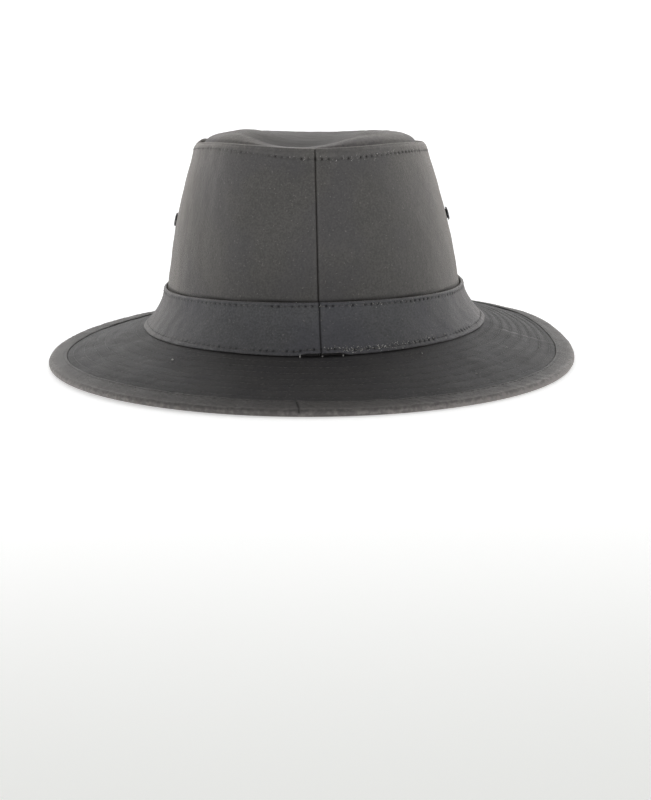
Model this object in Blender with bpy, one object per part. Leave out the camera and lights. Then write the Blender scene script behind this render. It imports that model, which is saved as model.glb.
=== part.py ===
"""Oilskin hat standing on its own brim: a flat topped crown sewn from two side panels and a tip,
a band of the same cloth, a bound brim and a vent eyelet in each side.
Metres. +Y is the front of the hat, +X its right side, +Z up, and the floor is at z = 0."""

from collections import namedtuple
from math import asin, cos, exp, hypot, pi, radians, sin

import bmesh
import bpy
from mathutils import Matrix, Vector

# Cloth thicknesses and the gap left between neighbouring pieces.
CROWN_WALL = 0.0015
BAND_WALL = 0.0016
BRIM_WALL = 0.0022
BOUND_WALL = 0.0012
BINDING_WALL = 0.0010
GAP = 0.0003

# The crown's outside: the oval where it meets the brim and the oval of its top edge.
BASE_HALF_WIDTH = 0.0940
BASE_HALF_LENGTH = 0.1107
RIM_HALF_WIDTH = 0.0648
RIM_HALF_LENGTH = 0.0835
CROWN_SHIFT = 0.0026
BASE_HEIGHT = 0.0180
BAND_HEIGHT = 0.0240
RIM_HEIGHT = 0.1180

# The brim, measured outwards from the band, and the tape that binds its edge.
BRIM_WIDTH = 0.0560
BINDING_WIDTH = 0.0102
EDGE_HEIGHT = 0.0020

# The tip panel on top of the crown.
TIP_RISE = 0.0076
TIP_FLANGE = 0.0070

# The seams at the middle of the back and front.
SEAM_SHIFT = 0.0021
SEAM_GAP = 0.0004
BAND_JOIN_SHIFT = 0.0028

# The eyelets.
EYELET_HEIGHT = 0.0762
EYELET_FLANGE_RADIUS = 0.0039
EYELET_BARREL_RADIUS = 0.0027
EYELET_BORE_RADIUS = 0.0019
EYELET_WALL = 0.0009

# Eight directions round the hat. Heights, widths and lifts are shares of the sizes above; droop is
# the share of the brim's fall that comes in its last part, and is negative where the edge turns up.
Side = namedtuple("Side", "direction base band rim brim edge droop")
SIDES = (
    Side("back", 1.01, 1.07, 1.027, 1.07, 0.75, 0.05),
    Side("back right", 1.01, 0.98, 1.026, 1.09, 0.60, 0.00),
    Side("right", 1.00, 0.88, 0.991, 0.855, -0.20, 0.06),
    Side("front right", 1.01, 0.98, 0.976, 1.05, 0.90, 0.00),
    Side("front", 0.99, 1.05, 0.972, 1.07, 1.40, -0.15),
    Side("front left", 0.94, 1.02, 0.982, 0.95, 0.60, -0.18),
    Side("left", 0.96, 0.93, 1.009, 0.95, 0.60, -0.10),
    Side("back left", 1.03, 1.00, 1.044, 1.02, 1.00, 0.12),
)

# How far the crown has drawn in from its base oval to its top oval, at shares of its height.
Section = namedtuple("Section", "height drawn_in")
SECTIONS = (
    Section(0.00, 0.000),
    Section(0.06, 0.160),
    Section(0.13, 0.308),
    Section(0.21, 0.386),
    Section(0.31, 0.441),
    Section(0.45, 0.517),
    Section(0.58, 0.608),
    Section(0.72, 0.736),
    Section(0.85, 0.862),
    Section(0.92, 0.936),
    Section(1.00, 1.000),
)

# The dent along the top, from the back of the crown to its front: its place as a share of the half
# length, its shift to the right and its half width as shares of the half width, and how much of the
# rise it takes away.
Dent = namedtuple("Dent", "place shift half_width depth")
DENTS = (
    Dent(-1.00, -0.11, 0.17, 0.97),
    Dent(-0.75, -0.09, 0.26, 0.86),
    Dent(-0.45, -0.02, 0.38, 0.62),
    Dent(0.00, 0.07, 0.52, 0.42),
    Dent(0.50, 0.08, 0.50, 0.36),
    Dent(1.00, 0.06, 0.45, 0.30),
)

AROUND = 64


def between(rows, at, column):
    """The value of a column at a place along a table whose first column rises."""
    for low, high in zip(rows, rows[1:]):
        if at <= high[0]:
            share = (at - low[0]) / (high[0] - low[0])
            share = max(0.0, share)
            return getattr(low, column) + share * (getattr(high, column) - getattr(low, column))
    return getattr(rows[-1], column)


def around(column, turn):
    """The value of a SIDES column at a turn in radians, smooth all the way round."""
    values = [getattr(side, column) for side in SIDES]
    count = len(values)
    place = (turn + pi / 2) * count / (2 * pi)
    total = 0.0
    for index, value in enumerate(values):
        away = pi * (place - index)
        near = sin(away / count)
        if abs(near) < 1e-9:
            return value
        total += value * sin(away) * cos(away / count) / (count * near)
    return total


def base_height(turn):
    return BASE_HEIGHT * around("base", turn)


def rim_height(turn):
    return RIM_HEIGHT * around("rim", turn)


def band_share(turn):
    """The band's top edge as a share of the crown's height."""
    return BAND_HEIGHT * around("band", turn) / (rim_height(turn) - base_height(turn))


def half_sizes(share):
    drawn_in = between(SECTIONS, share, "drawn_in")
    half_width = BASE_HALF_WIDTH + drawn_in * (RIM_HALF_WIDTH - BASE_HALF_WIDTH)
    half_length = BASE_HALF_LENGTH + drawn_in * (RIM_HALF_LENGTH - BASE_HALF_LENGTH)
    return half_width, half_length


def outwards(share, turn):
    """The level direction square to the crown's oval."""
    half_width, half_length = half_sizes(share)
    return Vector((cos(turn) / half_width, sin(turn) / half_length, 0)).normalized()


def crown(share, turn, out=0.0):
    """A point at this share of the crown's height, moved out from the cloth's outside face."""
    half_width, half_length = half_sizes(share)
    low, high = max(0.0, share - 0.04), min(1.0, share + 0.04)
    height = rim_height(turn) - base_height(turn)
    run = half_sizes(low)[0] - half_sizes(high)[0]
    slant = hypot(run, (high - low) * height) / ((high - low) * height)
    level = Vector((half_width * cos(turn) + CROWN_SHIFT, half_length * sin(turn), 0))
    level += outwards(share, turn) * out * slant
    level.z = base_height(turn) + share * height
    return level


def seam_turn(share, shift, front=False):
    """The turn at which the crown crosses the seam's line."""
    lean = asin(shift / half_sizes(share)[0])
    return pi / 2 - lean if front else -pi / 2 + lean


def spread(start, end, count):
    return [start + (end - start) * step / count for step in range(count + 1)]


def full_turn():
    return [2 * pi * step / AROUND for step in range(AROUND)]


def quads(bm, first, second, closed, flip=False):
    """A strip of faces between two rows of the same length."""
    count = len(first)
    for step in range(count if closed else count - 1):
        after = (step + 1) % count
        corners = [first[step], first[after], second[after], second[step]]
        bm.faces.new(corners[::-1] if flip else corners)


def finish(name, bm, colour, roughness, metallic=0.0):
    """Turns a mesh into a named object with its own material."""
    bmesh.ops.recalc_face_normals(bm, faces=bm.faces)
    mesh = bpy.data.meshes.new(name)
    bm.to_mesh(mesh)
    bm.free()
    material = bpy.data.materials.new(name)
    material.use_nodes = True
    shader = material.node_tree.nodes["Principled BSDF"]
    shader.inputs["Base Color"].default_value = (*colour, 1)
    shader.inputs["Roughness"].default_value = roughness
    shader.inputs["Metallic"].default_value = metallic
    mesh.materials.append(material)
    made = bpy.data.objects.new(name, mesh)
    bpy.context.scene.collection.objects.link(made)
    return made


def shell(outside, inside, closed=True, pole=None):
    """A thin body between two skins given as matching rows of points. An open strip gets end faces,
    and a pole is a pair of points that closes both skins where their last rows end."""
    bm = bmesh.new()
    outer = [[bm.verts.new(point) for point in row] for row in outside]
    inner = [[bm.verts.new(point) for point in row] for row in inside]
    for first, second in zip(outer, outer[1:]):
        quads(bm, first, second, closed)
    for first, second in zip(inner, inner[1:]):
        quads(bm, first, second, closed, flip=True)
    quads(bm, outer[0], inner[0], closed, flip=True)
    if pole:
        for row, point in ((outer[-1], pole[0]), (inner[-1], pole[1])):
            middle = bm.verts.new(point)
            for step, corner in enumerate(row):
                bm.faces.new((corner, row[(step + 1) % len(row)], middle))
    else:
        quads(bm, outer[-1], inner[-1], closed)
    if not closed:
        for end in (0, -1):
            quads(bm, [row[end] for row in outer], [row[end] for row in inner], False)
    return bm


def crown_side(name, start_front):
    """One half of the crown's wall, from its seam at the back to the one at the front, or back again."""
    outside, inside = [], []
    for section in SECTIONS:
        back = seam_turn(section.height, SEAM_SHIFT)
        front = seam_turn(section.height, SEAM_SHIFT, front=True)
        clear = SEAM_GAP / 2 / half_sizes(section.height)[0]
        if start_front:
            turns = spread(front + clear, back + 2 * pi - clear, AROUND // 2)
        else:
            turns = spread(back + clear, front - clear, AROUND // 2)
        outside.append([crown(section.height, turn) for turn in turns])
        inside.append([crown(section.height, turn, -CROWN_WALL) for turn in turns])
    return finish(name, shell(outside, inside, closed=False), (0.085, 0.080, 0.077), 0.62)


def tip_height(side_share, front_share, turn, reach):
    """The tip's height at a place given in shares of its half width and half length."""
    middle = RIM_HEIGHT * sum(side.rim for side in SIDES) / len(SIDES)
    level = middle + reach * (rim_height(turn) - middle)
    away = side_share - between(DENTS, front_share, "shift")
    away /= between(DENTS, front_share, "half_width")
    dent = between(DENTS, front_share, "depth") * exp(-(away ** 2))
    return level + TIP_RISE * (1 - reach ** 6) * (1 - dent)


def tip_point(turn, reach, out, below):
    edge = crown(1.0, turn, out)
    middle = Vector((CROWN_SHIFT, 0, 0))
    point = middle.lerp(edge, reach)
    point.z = tip_height(reach * cos(turn), reach * sin(turn), turn, reach) - GAP - below
    return point


def crown_tip():
    """The top panel, with a flange turned down inside the crown's wall."""
    turns = full_turn()
    outside_face = -CROWN_WALL - GAP
    inside_face = outside_face - CROWN_WALL
    flange_share = TIP_FLANGE / (RIM_HEIGHT - BASE_HEIGHT)
    outside = [[crown(1 - flange_share, turn, outside_face) for turn in turns]]
    inside = [[crown(1 - flange_share, turn, inside_face) for turn in turns]]
    for reach in (1.0, 0.97, 0.91, 0.82, 0.68, 0.48, 0.24):
        outside.append([tip_point(turn, reach, outside_face, 0.0) for turn in turns])
        inside.append([tip_point(turn, reach, inside_face, CROWN_WALL) for turn in turns])
    pole = (tip_point(0, 0, outside_face, 0.0), tip_point(0, 0, inside_face, CROWN_WALL))
    return finish("crown_tip", shell(outside, inside, pole=pole), (0.095, 0.090, 0.087), 0.60)


def hat_band():
    """A strip round the foot of the crown whose ends meet at the back."""
    outside, inside = [], []
    for share in (0.0, 0.22, 0.5, 0.78, 1.0):
        join = seam_turn(0.0, BAND_JOIN_SHIFT)
        clear = SEAM_GAP / 2 / BASE_HALF_WIDTH
        turns = spread(join + clear, join + 2 * pi - clear, AROUND)
        outside.append([crown(share * band_share(turn), turn, GAP + BAND_WALL) for turn in turns])
        inside.append([crown(share * band_share(turn), turn, GAP) for turn in turns])
    return finish("hat_band", shell(outside, inside, closed=False), (0.060, 0.062, 0.068), 0.58)


def brim_middle(turn, run):
    """A point halfway through the brim, this far out from the band. The brim lies flat where it
    reaches the floor."""
    start = crown(0.0, turn, GAP + BAND_WALL)
    top = start.z - GAP - BRIM_WALL / 2
    edge = EDGE_HEIGHT * around("edge", turn)
    late = around("droop", turn)
    share = max(0.0, run) / (BRIM_WIDTH * around("brim", turn))
    fall = (1 - late) * share + late * share ** 6
    floor = BOUND_WALL / 2 + GAP + BINDING_WALL
    point = start + outwards(0.0, turn) * run
    point.z = max(floor, top + (edge - top) * fall)
    return point


def brim_width(turn):
    return BRIM_WIDTH * around("brim", turn)


def brim_skin(turns, shape):
    """Rows above and below the brim's middle: each entry of shape turns the brim's width into how far
    out the row lies and how far it is from the middle."""
    above, below = [], []
    for place in shape:
        above.append([])
        below.append([])
        for turn in turns:
            run, away = place(brim_width(turn))
            point = brim_middle(turn, run)
            above[-1].append(point + Vector((0, 0, away)))
            below[-1].append(point - Vector((0, 0, away)))
    return above, below


def edge_rows(turns, radius, angles):
    """Rows that round the brim's edge at this radius about the line where its tape turns under."""
    tape = BOUND_WALL / 2 + GAP + BINDING_WALL
    rows = []
    for angle in angles:
        row = []
        for turn in turns:
            centre = brim_middle(turn, brim_width(turn) - tape)
            row.append(centre + outwards(0.0, turn) * radius * cos(angle)
                       + Vector((0, 0, radius * sin(angle))))
        rows.append(row)
    return rows


def brim():
    """The brim from the crown's inside face to its bound edge, thinner inside the tape."""
    turns = full_turn()
    margin = CROWN_WALL + GAP + BAND_WALL
    tape = BOUND_WALL / 2 + GAP + BINDING_WALL
    shape = [lambda width: (-margin * 1.2, BRIM_WALL / 2), lambda width: (0.0, BRIM_WALL / 2)]
    for share in (0.30, 0.62):
        shape.append(lambda width, share=share: (share * (width - BINDING_WIDTH), BRIM_WALL / 2))
    shape.append(lambda width: (width - BINDING_WIDTH - 4 * GAP, BRIM_WALL / 2))
    shape.append(lambda width: (width - BINDING_WIDTH - GAP, BOUND_WALL / 2))
    shape.append(lambda width: (width - BINDING_WIDTH * 0.42, BOUND_WALL / 2))
    shape.append(lambda width: (width - tape, BOUND_WALL / 2))
    above, below = brim_skin(turns, shape)
    nose = edge_rows(turns, BOUND_WALL / 2, (radians(45), 0.0, radians(-45)))
    rows = above + nose + below[::-1]
    return finish("brim", ring(rows), (0.070, 0.067, 0.066), 0.60)


def ring(rows):
    """A closed body all round, from rows that run once about its section."""
    bm = bmesh.new()
    made = [[bm.verts.new(point) for point in row] for row in rows]
    for first, second in zip(made, made[1:] + made[:1]):
        quads(bm, first, second, True)
    return bm


def brim_binding():
    """Tape folded over the brim's edge, with one leg above it and one below."""
    turns = full_turn()
    tape = BOUND_WALL / 2 + GAP + BINDING_WALL
    outside, inside = [], []
    for radius, rows in ((tape, outside), (tape - BINDING_WALL, inside)):
        shape = [
            lambda width, radius=radius: (width - BINDING_WIDTH, radius),
            lambda width, radius=radius: (width - BINDING_WIDTH * 0.42, radius),
            lambda width, radius=radius: (width - tape, radius),
        ]
        above, below = brim_skin(turns, shape)
        nose = edge_rows(turns, radius, (radians(50), 0.0, radians(-50)))
        rows.extend(above + nose + below[::-1])
    return finish("brim_binding", ring(outside + inside[::-1]), (0.105, 0.100, 0.096), 0.60)


def eyelet_frame(turn):
    """The eyelet's place on the crown, with its axis square to the cloth."""
    share = (EYELET_HEIGHT - base_height(turn)) / (rim_height(turn) - base_height(turn))
    place = crown(share, turn, -CROWN_WALL / 2)
    up = crown(share + 0.05, turn) - crown(share - 0.05, turn)
    along = crown(share, turn + 0.02) - crown(share, turn - 0.02)
    axis = along.cross(up).normalized()
    return Matrix.Translation(place) @ axis.to_track_quat("Z", "Y").to_matrix().to_4x4()


def eyelet(name, turn):
    """A metal eyelet through the cloth: a rounded flange outside, a barrel and a flange inside."""
    half = CROWN_WALL / 2 + GAP
    profile = (
        (EYELET_BORE_RADIUS, -half - EYELET_WALL * 0.8),
        (EYELET_FLANGE_RADIUS * 0.95, -half - EYELET_WALL * 0.8),
        (EYELET_FLANGE_RADIUS * 0.95, -half),
        (EYELET_BARREL_RADIUS, -half),
        (EYELET_BARREL_RADIUS, half),
        (EYELET_FLANGE_RADIUS, half),
        (EYELET_FLANGE_RADIUS * 0.94, half + EYELET_WALL * 0.8),
        (EYELET_FLANGE_RADIUS * 0.78, half + EYELET_WALL),
        (EYELET_BORE_RADIUS * 1.15, half + EYELET_WALL * 0.8),
        (EYELET_BORE_RADIUS, half + EYELET_WALL * 0.3),
    )
    count = 16
    frame = eyelet_frame(turn)
    rows = []
    for radius, height in profile:
        rows.append([
            frame @ Vector((radius * cos(2 * pi * step / count), radius * sin(2 * pi * step / count), height))
            for step in range(count)
        ])
    return finish(name, ring(rows), (0.10, 0.10, 0.11), 0.35, 1.0)


def pierce(panel, turn):
    """Cuts the eyelet's hole through a side panel."""
    bm = bmesh.new()
    reach = EYELET_BARREL_RADIUS + GAP
    bmesh.ops.create_cone(bm, cap_ends=True, segments=16, radius1=reach, radius2=reach,
                          depth=10 * CROWN_WALL, matrix=eyelet_frame(turn))
    cutter = finish(panel.name + "_hole", bm, (0.5, 0.5, 0.5), 0.5)
    cutter.hide_render = True
    cutter.display_type = "WIRE"
    cut = panel.modifiers.new("eyelet_hole", "BOOLEAN")
    cut.operation = "DIFFERENCE"
    cut.solver = "EXACT"
    cut.object = cutter


for leftover in list(bpy.data.objects):
    bpy.data.objects.remove(leftover)

brim()
brim_binding()
right = crown_side("crown_side_right", start_front=False)
left = crown_side("crown_side_left", start_front=True)
crown_tip()
hat_band()
eyelet("eyelet_right", 0.0)
eyelet("eyelet_left", pi)
pierce(right, 0.0)
pierce(left, pi)
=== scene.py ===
"""Oilskin hat, dressed: waxed cotton panels, their stitches, the brim's binding tape and the vent
eyelets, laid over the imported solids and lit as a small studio.
Metres. +Y is the front of the hat, +X its right side, +Z up, and the floor is at z = 0."""

from collections import namedtuple
from math import cos, pi, radians, sin, sqrt

import bmesh
import bpy
import numpy as np
from mathutils import Matrix, Vector


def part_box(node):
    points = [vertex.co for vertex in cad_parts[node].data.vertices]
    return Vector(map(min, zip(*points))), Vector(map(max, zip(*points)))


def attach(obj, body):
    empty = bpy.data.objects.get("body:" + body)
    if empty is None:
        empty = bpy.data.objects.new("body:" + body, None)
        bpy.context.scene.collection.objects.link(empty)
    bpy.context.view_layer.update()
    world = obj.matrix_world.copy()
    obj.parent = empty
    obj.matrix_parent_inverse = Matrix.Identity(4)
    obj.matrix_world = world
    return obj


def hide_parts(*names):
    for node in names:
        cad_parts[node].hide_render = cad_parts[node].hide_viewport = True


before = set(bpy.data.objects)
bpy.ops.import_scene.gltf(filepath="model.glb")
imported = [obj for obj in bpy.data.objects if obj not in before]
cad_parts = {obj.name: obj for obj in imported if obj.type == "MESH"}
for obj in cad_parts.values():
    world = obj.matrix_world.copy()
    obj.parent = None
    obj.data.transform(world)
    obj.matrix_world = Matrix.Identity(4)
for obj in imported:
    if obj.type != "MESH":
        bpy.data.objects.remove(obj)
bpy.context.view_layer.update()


# The crown's two side panels. Each is waxed cotton cut to a curve, so that it draws in towards the
# top, and they are sewn together down the middle of the back and of the front. The seams are
# pressed open inside, so the panels' edges roll in there and leave a fine dark line.

CROWN_WALL = 0.0015
GAP = 0.0003
RIM_HALF_WIDTH = 0.0648
RIM_HALF_LENGTH = 0.0835
BASE_HEIGHT = 0.0180
RIM_HEIGHT = 0.1180
SEAM_SHIFT = 0.0021

left_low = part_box("crown_side_left")[0]
right_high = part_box("crown_side_right")[1]
BASE_HALF_WIDTH = (right_high[0] - left_low[0]) / 2
BASE_HALF_LENGTH = right_high[1]
CROWN_SHIFT = (right_high[0] + left_low[0]) / 2

# Eight directions round the hat, as shares of the named sizes. Droop is the share of the brim's
# fall that comes in its last part, drop is how far the rim's stitches lie below it, and pull is how
# tightly the stitches were drawn.
Side = namedtuple("Side", "direction base band rim brim edge droop drop pull")
SIDES = (
    Side("back", 1.01, 1.07, 1.027, 1.07, 0.75, 0.05, 1.10, 0.75),
    Side("back right", 1.01, 0.98, 1.026, 1.09, 0.60, 0.00, 1.04, 1.00),
    Side("right", 1.00, 0.88, 0.991, 0.855, -0.20, 0.06, 0.92, 0.55),
    Side("front right", 1.01, 0.98, 0.976, 1.05, 0.90, 0.00, 0.96, 0.65),
    Side("front", 0.99, 1.05, 0.972, 1.07, 1.40, -0.15, 1.04, 0.80),
    Side("front left", 0.94, 1.02, 0.982, 0.95, 0.60, -0.18, 0.86, 0.60),
    Side("left", 0.96, 0.93, 1.009, 0.95, 0.60, -0.10, 0.74, 0.15),
    Side("back left", 1.03, 1.00, 1.044, 1.02, 1.00, 0.12, 0.70, 0.32),
)

# How far the crown has drawn in from its foot to its rim, at shares of its height.
Section = namedtuple("Section", "height drawn_in")
SECTIONS = (
    Section(0.00, 0.000),
    Section(0.06, 0.160),
    Section(0.13, 0.308),
    Section(0.21, 0.386),
    Section(0.31, 0.441),
    Section(0.45, 0.517),
    Section(0.58, 0.608),
    Section(0.72, 0.736),
    Section(0.85, 0.862),
    Section(0.92, 0.936),
    Section(1.00, 1.000),
)

# The crown's slant is measured between shares this far below and above a place.
SLANT_REACH = 0.04


def round_hat(column, turn):
    """The value of a SIDES column at turns in radians, smooth all the way round."""
    waves = np.fft.rfft([getattr(side, column) for side in SIDES]) / len(SIDES)
    total = np.full(np.shape(turn), waves[0].real)
    for order in range(1, len(waves)):
        weight = 1 if 2 * order == len(SIDES) else 2
        total += weight * np.real(waves[order] * np.exp(1j * order * (turn + pi / 2)))
    return total


def limited(values):
    """The same values, kept between 0 and 1."""
    return np.clip(values, 0, 1)


def smooth(rows, at, column):
    """The value of a table's column at places along its first one, on a smooth curve."""
    places = np.array([row[0] for row in rows])
    values = np.array([getattr(row, column) for row in rows])
    slopes = np.gradient(values, places)
    low = np.clip(np.searchsorted(places, at) - 1, 0, len(places) - 2)
    step = places[low + 1] - places[low]
    along = limited((at - places[low]) / step)
    back = 1 - along
    ends = (1 + 2 * along) * back ** 2 * values[low] + (1 + 2 * back) * along ** 2 * values[low + 1]
    return ends + along * back * step * (back * slopes[low] - along * slopes[low + 1])


def half_sizes(share):
    """The crown's half width and half length at a share of its height."""
    drawn_in = smooth(SECTIONS, share, "drawn_in")
    return (BASE_HALF_WIDTH + drawn_in * (RIM_HALF_WIDTH - BASE_HALF_WIDTH),
            BASE_HALF_LENGTH + drawn_in * (RIM_HALF_LENGTH - BASE_HALF_LENGTH))


def foot_height(turn):
    return BASE_HEIGHT * round_hat("base", turn)


def panel_height(turn):
    """How high the crown's rim stands above its foot."""
    return RIM_HEIGHT * round_hat("rim", turn) - foot_height(turn)


def unit(arrows):
    return arrows / np.linalg.norm(arrows, axis=-1, keepdims=True)


def outwards(share, turn):
    """The level direction square to the crown's oval."""
    half_width, half_length = half_sizes(share)
    return unit(np.stack([np.cos(turn) / half_width, np.sin(turn) / half_length, 0 * turn], -1))


def crown(share, turn, out=0.0):
    """Points at shares of the crown's height, moved out from the cloth's outside face."""
    share, turn, out = np.broadcast_arrays(share, turn, out)
    half_width, half_length = half_sizes(share)
    low, high = limited(share - SLANT_REACH), limited(share + SLANT_REACH)
    climb = (high - low) * panel_height(turn)
    slant = np.hypot(half_sizes(low)[0] - half_sizes(high)[0], climb) / climb
    level = np.stack([half_width * np.cos(turn) + CROWN_SHIFT, half_length * np.sin(turn),
                      foot_height(turn) + share * panel_height(turn)], -1)
    return level + outwards(share, turn) * (out * slant)[..., None]


def seam_turn(share, shift, front=False):
    """The turn at which the crown crosses a seam's line at the back or the front."""
    lean = np.arcsin(shift / half_sizes(share)[0])
    return pi / 2 - lean if front else lean - pi / 2


def half_round(angle):
    """The same angle, brought within half a turn either way of 0."""
    return (angle + pi) % (2 * pi) - pi


# Soft unevenness in the cloth: how high its swells stand, how far across they are, and its seed.
Swell = namedtuple("Swell", "height size seed")
WAVES = 9


def uneven(points, size, seed):
    """A soft chance height between about -1 and 1, whose swells are about this size across."""
    chance = np.random.default_rng(seed)
    ways = unit(chance.normal(size=(WAVES, 3))) * chance.uniform(0.6, 1.5, (WAVES, 1)) * 2 * pi / size
    return 0.77 * np.sin(points @ ways.T + chance.uniform(0, 2 * pi, WAVES)).sum(-1) / sqrt(WAVES)


def swells(points, kinds):
    return sum(kind.height * uneven(points, kind.size, kind.seed) for kind in kinds)


def rolled(away, radius, depth):
    """How far cloth has turned down at this distance from its edge, where it rolls under."""
    near = limited(1 - away / radius)
    return depth * (1 - np.sqrt(1 - near ** 2))


def groove(away, width):
    """A furrow's profile: 1 at its middle, and almost 0 at this distance from it."""
    return np.exp(-(2 * away / width) ** 2)


def puff(away, width):
    """A padded fold's profile: 0 at its edge and from this distance on, and 1 halfway."""
    return np.sin(pi * limited(away / width))


def spaced(*stretches):
    """Places along a piece, from stretches of (start, end, steps)."""
    places = [np.linspace(start, end, steps, endpoint=False) for start, end, steps in stretches]
    return np.concatenate(places + [[stretches[-1][1]]])


def around(*stretches):
    """Rows round a piece's section. Each stretch gives the rows' values, some the same all along."""
    return np.concatenate([np.column_stack(np.broadcast_arrays(*values)) for values in stretches])


WELD = 2e-6


def cloth(name, columns, rows, place):
    """A piece of cloth: a flat grid whose crossings are laid on the hat. place turns the columns' and
    rows' values into points, places on the flat cloth, how much paler they are, by wear and by painted
    light, and how much painted shade darkens them."""
    bm = bmesh.new()
    bmesh.ops.create_grid(bm, x_segments=len(columns) - 1, y_segments=len(rows) - 1, size=0.5)
    mesh = bpy.data.meshes.new(name)
    bm.to_mesh(mesh)
    corners = np.empty(3 * len(mesh.vertices))
    mesh.vertices.foreach_get("co", corners)
    steps = np.array([len(columns), len(rows)]) - 1
    spot = np.rint((corners.reshape(-1, 3)[:, :2] + 0.5) * steps).astype(int)
    points, flat, wear_and_light, shaded = place(columns[spot[:, 0]], rows[spot[:, 1]])
    mesh.vertices.foreach_set("co", points.ravel())
    loops = np.empty(len(mesh.loops), int)
    mesh.loops.foreach_get("vertex_index", loops)
    mesh.uv_layers.new(name="cloth").data.foreach_set("uv", flat[loops].ravel())
    for label, values in (("wear_and_light", wear_and_light), ("shaded", limited(shaded))):
        mesh.attributes.new(label, "FLOAT", "POINT").data.foreach_set("value", values.ravel())
    bm.clear()
    bm.from_mesh(mesh)
    bmesh.ops.remove_doubles(bm, verts=bm.verts, dist=WELD)
    bmesh.ops.dissolve_degenerate(bm, edges=bm.edges, dist=WELD / 10)
    bmesh.ops.holes_fill(bm, edges=[edge for edge in bm.edges if edge.is_boundary])
    return dressed(name, bm, mesh)


def dressed(name, bm, mesh=None):
    """Turns a mesh into a smooth, named piece with its faces pointing out."""
    bmesh.ops.recalc_face_normals(bm, faces=bm.faces)
    for face in bm.faces:
        face.smooth = True
    mesh = mesh or bpy.data.meshes.new(name)
    bm.to_mesh(mesh)
    bm.free()
    piece = bpy.data.objects.new(name, mesh)
    bpy.context.scene.collection.objects.link(piece)
    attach(piece, "root")
    return piece


PANEL_SWELLS = (Swell(0.00042, 0.055, 3), Swell(0.00010, 0.016, 4))

# The seam: how the panels' edges roll in, the cloth pressed open under them, and the puckers that
# the thread pulls beside them.
SEAM_ROLL = 0.0011
SEAM_DEPTH = 0.0008
SEAM_ALLOWANCE = 0.0095
SEAM_WELT = 0.0002
WELT_EDGE = 0.0006
PUCKER_HEIGHT = 0.00016
PUCKER_LENGTH = 0.0072
PUCKER_REACH = 0.006

# The rim leans in over its hem, which fills the cloth out, and its edge is rounded.
RIM_RADIUS = CROWN_WALL / 2
HEM_HEIGHT = 0.0060
HEM_LEAN = 0.0009
HEM_PUFF = 0.00016
HEM_PUCKERS = (Swell(0.00010, 0.009, 5),)
EDGE_ROUNDING = 0.0020
EDGE_LEAN = 0.0008

# The soft rim stands up a little towards the front of each side.
Curl = namedtuple("Curl", "turn height")
RIM_CURLS = (Curl(radians(163), 0.0026), Curl(radians(12), 0.0004))
CURL_WIDTH = 0.22

# Stitches, how wide and deep they pull furrows and needle holes into the cloth, and how tight the
# tightest of them are.
STITCH_PITCH = 0.0035
STITCH_FURROW = 0.0013
RIM_STITCH_DROP = 0.0048
RIM_FURROW_DEPTH = 0.00005
RIM_HOLE_DEPTH = 0.00040
TIGHTEST = 1.4
MOST_STITCHES = 997
Row = namedtuple("Row", "turns lengths pitch")


def stitch_row(path, start, end):
    """A row of stitches along a path round the hat, with a whole number of them."""
    turns = np.linspace(start, end, 2000)
    steps = np.linalg.norm(np.diff(path(turns), axis=0), axis=1)
    lengths = np.concatenate([[0], np.cumsum(steps)])
    return Row(turns, lengths, lengths[-1] / round(lengths[-1] / STITCH_PITCH))


def needle_holes(row, turn):
    """1 where a tight stitch pulls its needle hole open, less at looser ones, and 0 between them."""
    along = np.interp(turn, row.turns, row.lengths) / row.pitch
    chance = np.random.default_rng(7).uniform(0.0, TIGHTEST, MOST_STITCHES)
    drawn = chance[np.rint(along).astype(int) % MOST_STITCHES] * round_hat("pull", turn)
    return np.minimum(drawn, 1) * (0.5 + 0.5 * np.cos(2 * pi * along)) ** 3


def sewn(row, turn, away, width, furrow, holes):
    """A mark along a row of stitches: this strong all along it, and stronger at its holes."""
    return (furrow + holes * needle_holes(row, turn)) * groove(away, width)


def rim_stitch_share(turn):
    return 1 - RIM_STITCH_DROP * round_hat("drop", turn) / panel_height(turn)


RIM_SEAM = seam_turn(1.0, SEAM_SHIFT)
rim_row = stitch_row(lambda turn: crown(rim_stitch_share(turn), turn), RIM_SEAM, RIM_SEAM + 2 * pi)


def from_seam(turn):
    """The same turn, counted on from the back seam as the rim's stitches are."""
    return RIM_SEAM + (turn - RIM_SEAM) % (2 * pi)


def hem_lean(below):
    """How far the cloth leans in, this far below the rim."""
    return HEM_LEAN * limited(1 - below / HEM_HEIGHT) ** 2


def rim_curl(turn):
    """How far the rim stands up at a turn."""
    return sum(curl.height * groove(half_round(turn - curl.turn), 2 * CURL_WIDTH) for curl in RIM_CURLS)


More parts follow.
